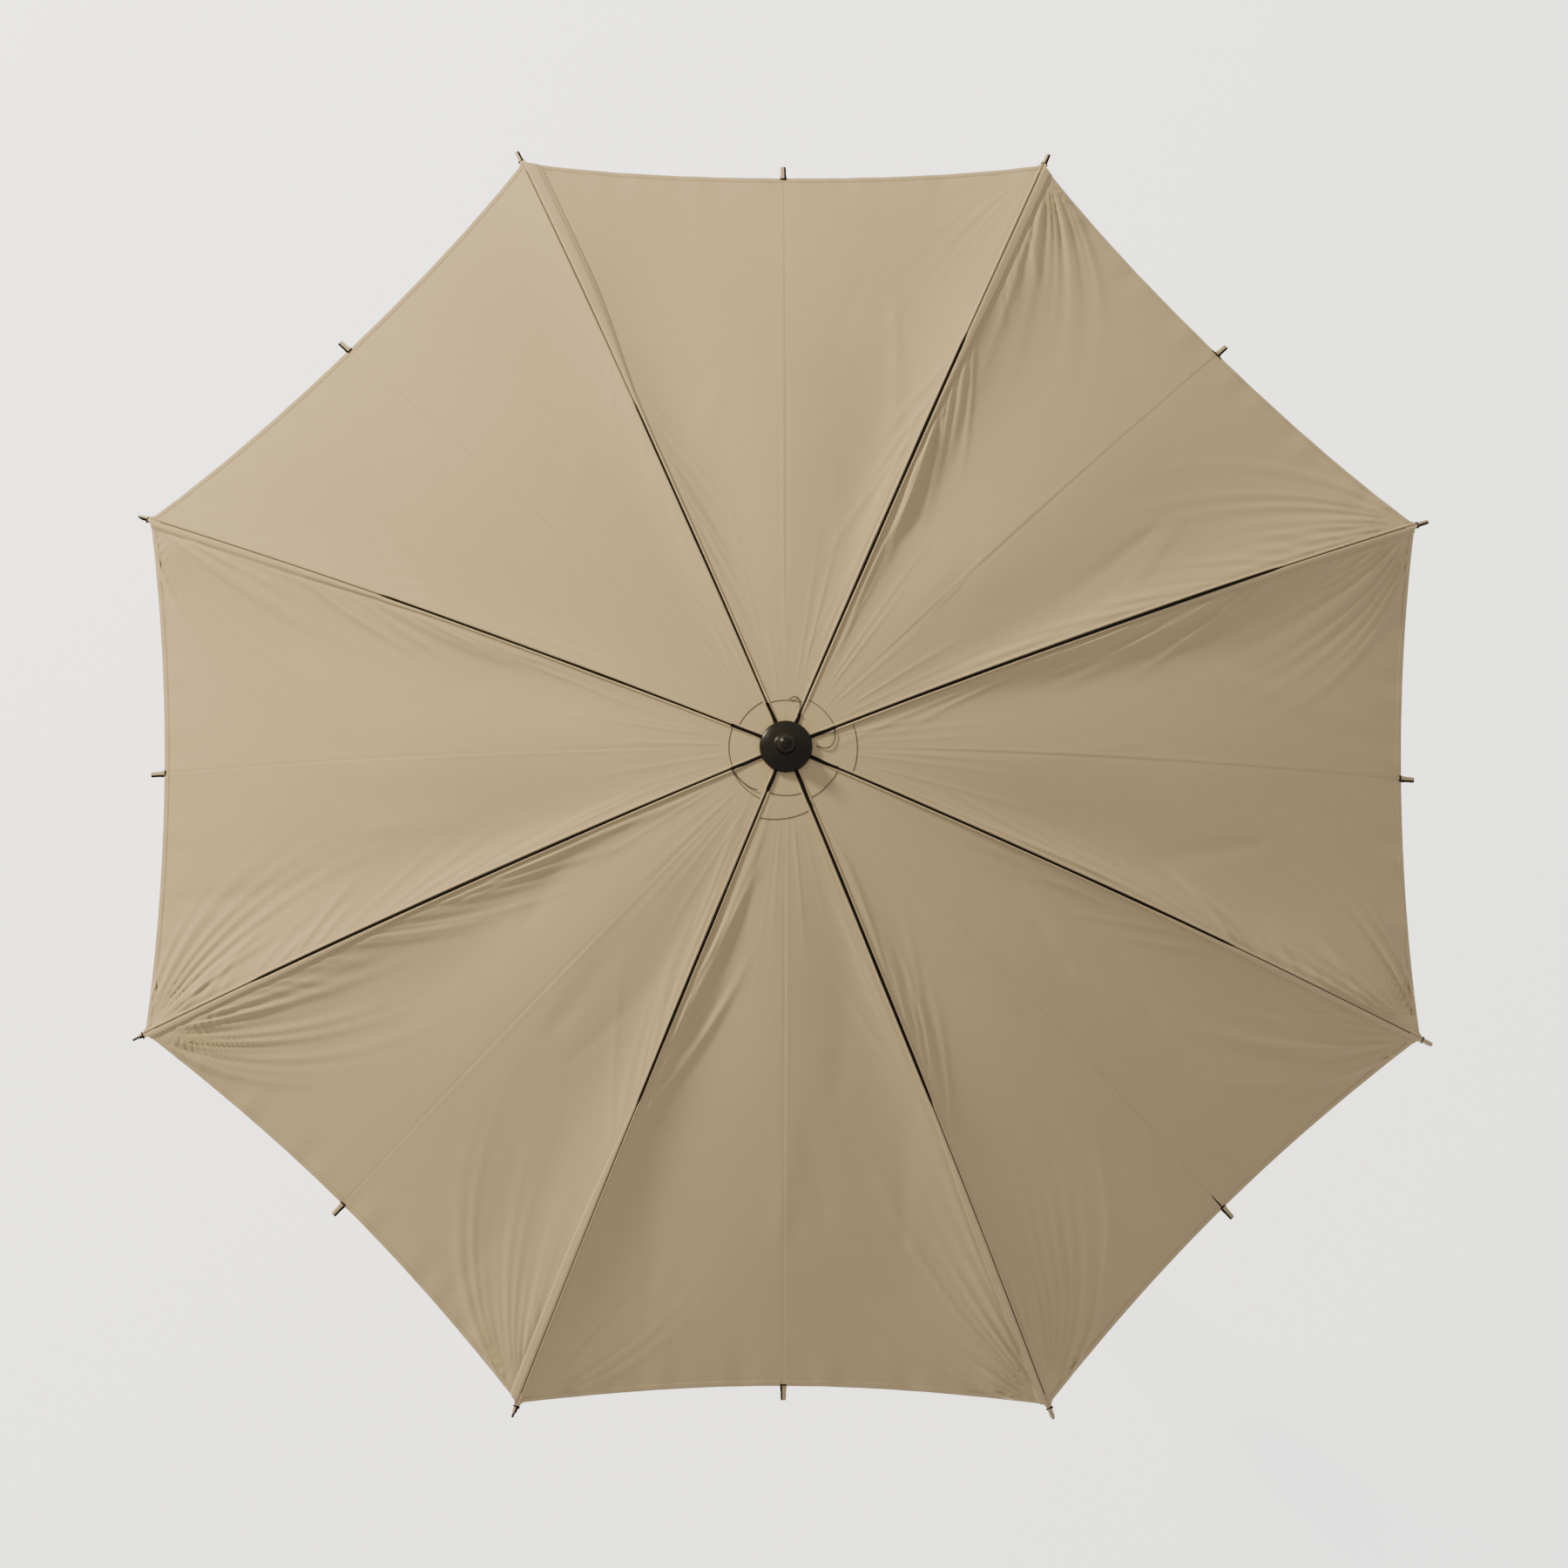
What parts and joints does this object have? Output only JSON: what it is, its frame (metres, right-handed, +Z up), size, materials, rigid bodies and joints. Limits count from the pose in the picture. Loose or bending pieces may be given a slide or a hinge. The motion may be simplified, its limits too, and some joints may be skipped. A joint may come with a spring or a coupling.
{
  "type": "patio umbrella with base",
  "caption": "Octagonal crank-lift patio umbrella with arched folding ribs, scalloped fabric canopy, domed finial, jointed pole and round weighted base.",
  "frame": {"origin": "on the ground under the pole, at the middle of the footprint", "axes": "+Z up the pole, +X over batten 1, -Y towards the crank"},
  "size_m": [2.547, 2.547, 2.3907],
  "materials": {
    "black_paint": "satin powder coat",
    "black_plastic": "fine moulded texture",
    "gloss_plastic": "gloss",
    "white_plastic": "nylon",
    "cord": "braided cord",
    "canopy_fabric": "plain woven polyester",
    "steel": "zinc plated",
    "cast_iron": "painted casting",
    "rubber": "moulded rubber"
  },
  "bodies": {
    "base": {"base_plate": "cast_iron", "base_feet": "rubber", "base_bolts": "steel", "stand_tube": "black_paint", "stand_collar": "black_plastic"},
    "clamp": {"clamp_screw": "steel", "clamp_knob": "black_plastic"},
    "mast": {"lower_pole": "black_paint", "pole_joiner": "steel", "joint_ring": "black_plastic", "upper_pole": "black_paint", "crank_housing": "black_plastic", "crank_cover": "black_plastic", "cover_screws": "steel", "crown": "black_plastic", "crown_pins": "steel", "finial_cap": "gloss_plastic", "finial_knob": "gloss_plastic", "pulley_pin": "steel", "cord_in_pole": "cord", "cord_to_runner": "cord"},
    "runner": {"runner": "black_plastic", "runner_pins": "steel"},
    "crank": {"crank_spool": "steel", "crank_arm": "black_paint", "grip_pin": "steel"},
    "grip": {"crank_grip": "black_plastic"},
    "pulley": {"pulley": "white_plastic"},
    "rib_1": {"rib_1": "black_paint"},
    "stretcher_1": {"stretcher_1": "black_paint"},
    "rib_2": {"rib_2": "black_paint"},
    "stretcher_2": {"stretcher_2": "black_paint"},
    "rib_3": {"rib_3": "black_paint"},
    "stretcher_3": {"stretcher_3": "black_paint"},
    "rib_4": {"rib_4": "black_paint"},
    "stretcher_4": {"stretcher_4": "black_paint"},
    "rib_5": {"rib_5": "black_paint"},
    "stretcher_5": {"stretcher_5": "black_paint"},
    "rib_6": {"rib_6": "black_paint"},
    "stretcher_6": {"stretcher_6": "black_paint"},
    "rib_7": {"rib_7": "black_paint"},
    "stretcher_7": {"stretcher_7": "black_paint"},
    "rib_8": {"rib_8": "black_paint"},
    "stretcher_8": {"stretcher_8": "black_paint"},
    "batten_1": {"batten_1": "black_paint", "canopy_panel_1": "canopy_fabric"},
    "batten_2": {"batten_2": "black_paint", "canopy_panel_2": "canopy_fabric"},
    "batten_3": {"batten_3": "black_paint", "canopy_panel_3": "canopy_fabric"},
    "batten_4": {"batten_4": "black_paint", "canopy_panel_4": "canopy_fabric"},
    "batten_5": {"batten_5": "black_paint", "canopy_panel_5": "canopy_fabric"},
    "batten_6": {"batten_6": "black_paint", "canopy_panel_6": "canopy_fabric"},
    "batten_7": {"batten_7": "black_paint", "canopy_panel_7": "canopy_fabric"},
    "batten_8": {"batten_8": "black_paint", "canopy_panel_8": "canopy_fabric"}
  },
  "joints": [
    {"name": "pole_lift", "type": "slide", "parent": "base", "child": "mast", "axis": [0, 0, 1], "range_m": [0, 0.33]},
    {"name": "clamp_turn", "type": "hinge", "parent": "base", "child": "clamp", "pos_m": [0, -0.05, 0.32], "axis": [0, -1, 0], "range_deg": [-720, 0]},
    {"name": "canopy_fold", "type": "slide", "parent": "mast", "child": "runner", "axis": [0, 0, -1], "range_m": [0, 0.84916], "deforming": ["canopy_panel_1", "canopy_panel_2", "canopy_panel_3", "canopy_panel_4", "canopy_panel_5", "canopy_panel_6", "canopy_panel_7", "canopy_panel_8", "cord_to_runner"]},
    {"name": "crank_turn", "type": "hinge", "parent": "mast", "child": "crank", "pos_m": [0, -0.05, 0.845], "axis": [0, -1, 0], "range_deg": [0, 4867]},
    {"name": "grip_spin", "type": "hinge", "parent": "crank", "child": "grip", "pos_m": [0, -0.1, 0.755], "axis": [0, -1, 0], "continuous": true},
    {"name": "pulley_turn", "type": "hinge", "parent": "mast", "child": "pulley", "pos_m": [0.0165, 0, 2.335], "axis": [0, 1, 0], "range_deg": [0, 7487]},
    {"name": "rib_1_fold", "type": "hinge", "parent": "mast", "child": "rib_1", "pos_m": [0.0425, 0.0176, 2.336], "axis": [-0.3827, 0.9239, 0], "range_deg": [0, 76.94]},
    {"name": "stretcher_1_fold", "type": "hinge", "parent": "rib_1", "child": "stretcher_1", "pos_m": [0.58962, 0.24423, 2.24947], "axis": [-0.3827, 0.9239, 0], "range_deg": [-132.64, 0]},
    {"name": "rib_2_fold", "type": "hinge", "parent": "mast", "child": "rib_2", "pos_m": [0.0176, 0.0425, 2.336], "axis": [-0.9239, 0.3827, 0], "range_deg": [0, 76.94]},
    {"name": "stretcher_2_fold", "type": "hinge", "parent": "rib_2", "child": "stretcher_2", "pos_m": [0.24423, 0.58962, 2.24947], "axis": [-0.9239, 0.3827, 0], "range_deg": [-132.64, 0]},
    {"name": "rib_3_fold", "type": "hinge", "parent": "mast", "child": "rib_3", "pos_m": [-0.0176, 0.0425, 2.336], "axis": [-0.9239, -0.3827, 0], "range_deg": [0, 76.94]},
    {"name": "stretcher_3_fold", "type": "hinge", "parent": "rib_3", "child": "stretcher_3", "pos_m": [-0.24423, 0.58962, 2.24947], "axis": [-0.9239, -0.3827, 0], "range_deg": [-132.64, 0]},
    {"name": "rib_4_fold", "type": "hinge", "parent": "mast", "child": "rib_4", "pos_m": [-0.0425, 0.0176, 2.336], "axis": [-0.3827, -0.9239, 0], "range_deg": [0, 76.94]},
    {"name": "stretcher_4_fold", "type": "hinge", "parent": "rib_4", "child": "stretcher_4", "pos_m": [-0.58962, 0.24423, 2.24947], "axis": [-0.3827, -0.9239, 0], "range_deg": [-132.64, 0]},
    {"name": "rib_5_fold", "type": "hinge", "parent": "mast", "child": "rib_5", "pos_m": [-0.0425, -0.0176, 2.336], "axis": [0.3827, -0.9239, 0], "range_deg": [0, 76.94]},
    {"name": "stretcher_5_fold", "type": "hinge", "parent": "rib_5", "child": "stretcher_5", "pos_m": [-0.58962, -0.24423, 2.24947], "axis": [0.3827, -0.9239, 0], "range_deg": [-132.64, 0]},
    {"name": "rib_6_fold", "type": "hinge", "parent": "mast", "child": "rib_6", "pos_m": [-0.0176, -0.0425, 2.336], "axis": [0.9239, -0.3827, 0], "range_deg": [0, 76.94]},
    {"name": "stretcher_6_fold", "type": "hinge", "parent": "rib_6", "child": "stretcher_6", "pos_m": [-0.24423, -0.58962, 2.24947], "axis": [0.9239, -0.3827, 0], "range_deg": [-132.64, 0]},
    {"name": "rib_7_fold", "type": "hinge", "parent": "mast", "child": "rib_7", "pos_m": [0.0176, -0.0425, 2.336], "axis": [0.9239, 0.3827, 0], "range_deg": [0, 76.94]},
    {"name": "stretcher_7_fold", "type": "hinge", "parent": "rib_7", "child": "stretcher_7", "pos_m": [0.24423, -0.58962, 2.24947], "axis": [0.9239, 0.3827, 0], "range_deg": [-132.64, 0]},
    {"name": "rib_8_fold", "type": "hinge", "parent": "mast", "child": "rib_8", "pos_m": [0.0425, -0.0176, 2.336], "axis": [0.3827, 0.9239, 0], "range_deg": [0, 76.94]},
    {"name": "stretcher_8_fold", "type": "hinge", "parent": "rib_8", "child": "stretcher_8", "pos_m": [0.58962, -0.24423, 2.24947], "axis": [0.3827, 0.9239, 0], "range_deg": [-132.64, 0]},
    {"name": "batten_1_fold", "type": "hinge", "parent": "mast", "child": "batten_1", "pos_m": [0.046, 0, 2.336], "axis": [0, 1, 0], "range_deg": [0, 76.3]},
    {"name": "batten_2_fold", "type": "hinge", "parent": "mast", "child": "batten_2", "pos_m": [0.03253, 0.03253, 2.336], "axis": [-0.7071, 0.7071, 0], "range_deg": [0, 76.3]},
    {"name": "batten_3_fold", "type": "hinge", "parent": "mast", "child": "batten_3", "pos_m": [0, 0.046, 2.336], "axis": [-1, 0, 0], "range_deg": [0, 76.3]},
    {"name": "batten_4_fold", "type": "hinge", "parent": "mast", "child": "batten_4", "pos_m": [-0.03253, 0.03253, 2.336], "axis": [-0.7071, -0.7071, 0], "range_deg": [0, 76.3]},
    {"name": "batten_5_fold", "type": "hinge", "parent": "mast", "child": "batten_5", "pos_m": [-0.046, 0, 2.336], "axis": [0, -1, 0], "range_deg": [0, 76.3]},
    {"name": "batten_6_fold", "type": "hinge", "parent": "mast", "child": "batten_6", "pos_m": [-0.03253, -0.03253, 2.336], "axis": [0.7071, -0.7071, 0], "range_deg": [0, 76.3]},
    {"name": "batten_7_fold", "type": "hinge", "parent": "mast", "child": "batten_7", "pos_m": [0, -0.046, 2.336], "axis": [1, 0, 0], "range_deg": [0, 76.3]},
    {"name": "batten_8_fold", "type": "hinge", "parent": "mast", "child": "batten_8", "pos_m": [0.03253, -0.03253, 2.336], "axis": [0.7071, 0.7071, 0], "range_deg": [0, 76.3]}
  ],
  "couplings": [
    {"joint": "crank_turn", "follows": "canopy_fold", "rad_per_m": 100},
    {"joint": "pulley_turn", "follows": "canopy_fold", "rad_per_m": 153.85},
    {"joint": "rib_1_fold", "follows": "canopy_fold", "rad_per_m": 1.5804},
    {"joint": "stretcher_1_fold", "follows": "canopy_fold", "rad_per_m": -2.7251},
    {"joint": "rib_2_fold", "follows": "canopy_fold", "rad_per_m": 1.5804},
    {"joint": "stretcher_2_fold", "follows": "canopy_fold", "rad_per_m": -2.7251},
    {"joint": "rib_3_fold", "follows": "canopy_fold", "rad_per_m": 1.5804},
    {"joint": "stretcher_3_fold", "follows": "canopy_fold", "rad_per_m": -2.7251},
    {"joint": "rib_4_fold", "follows": "canopy_fold", "rad_per_m": 1.5804},
    {"joint": "stretcher_4_fold", "follows": "canopy_fold", "rad_per_m": -2.7251},
    {"joint": "rib_5_fold", "follows": "canopy_fold", "rad_per_m": 1.5804},
    {"joint": "stretcher_5_fold", "follows": "canopy_fold", "rad_per_m": -2.7251},
    {"joint": "rib_6_fold", "follows": "canopy_fold", "rad_per_m": 1.5804},
    {"joint": "stretcher_6_fold", "follows": "canopy_fold", "rad_per_m": -2.7251},
    {"joint": "rib_7_fold", "follows": "canopy_fold", "rad_per_m": 1.5804},
    {"joint": "stretcher_7_fold", "follows": "canopy_fold", "rad_per_m": -2.7251},
    {"joint": "rib_8_fold", "follows": "canopy_fold", "rad_per_m": 1.5804},
    {"joint": "stretcher_8_fold", "follows": "canopy_fold", "rad_per_m": -2.7251},
    {"joint": "batten_1_fold", "follows": "canopy_fold", "rad_per_m": 1.5672},
    {"joint": "batten_2_fold", "follows": "canopy_fold", "rad_per_m": 1.5672},
    {"joint": "batten_3_fold", "follows": "canopy_fold", "rad_per_m": 1.5672},
    {"joint": "batten_4_fold", "follows": "canopy_fold", "rad_per_m": 1.5672},
    {"joint": "batten_5_fold", "follows": "canopy_fold", "rad_per_m": 1.5672},
    {"joint": "batten_6_fold", "follows": "canopy_fold", "rad_per_m": 1.5672},
    {"joint": "batten_7_fold", "follows": "canopy_fold", "rad_per_m": 1.5672},
    {"joint": "batten_8_fold", "follows": "canopy_fold", "rad_per_m": 1.5672}
  ]
}
